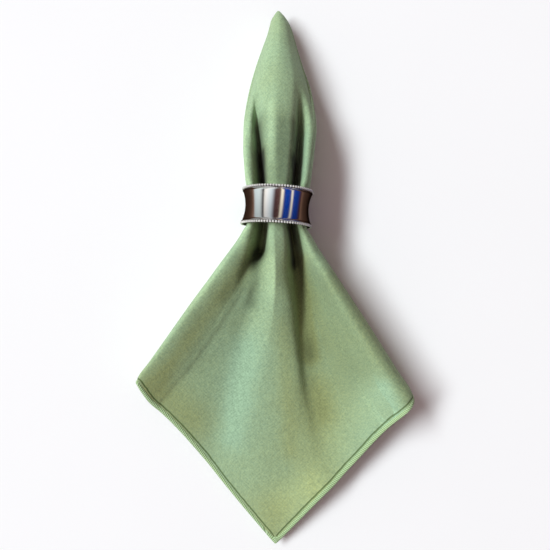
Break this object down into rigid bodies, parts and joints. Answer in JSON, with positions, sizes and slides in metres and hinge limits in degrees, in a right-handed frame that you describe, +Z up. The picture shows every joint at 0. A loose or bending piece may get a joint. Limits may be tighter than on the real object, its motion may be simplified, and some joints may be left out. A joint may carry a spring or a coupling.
{
  "type": "folded napkin in a napkin ring",
  "caption": "Square cloth napkin folded in quarters, point up, gathered in soft lobes through a short spool-shaped metal napkin ring with beaded rims and lying flat on the table.",
  "frame": {"origin": "middle of the object's length and width, on the table it lies on", "axes": "+Y along the object towards the folded tip, +Z up out of the table, +X to the right with the tip away from the viewer"},
  "size_m": [0.1716, 0.3437, 0.0444],
  "materials": {
    "cloth": "matt sage green plain weave",
    "silver": "polished silver plate"
  },
  "bodies": {
    "root": {"napkin": "cloth", "ring": "silver"}
  },
  "joints": []
}
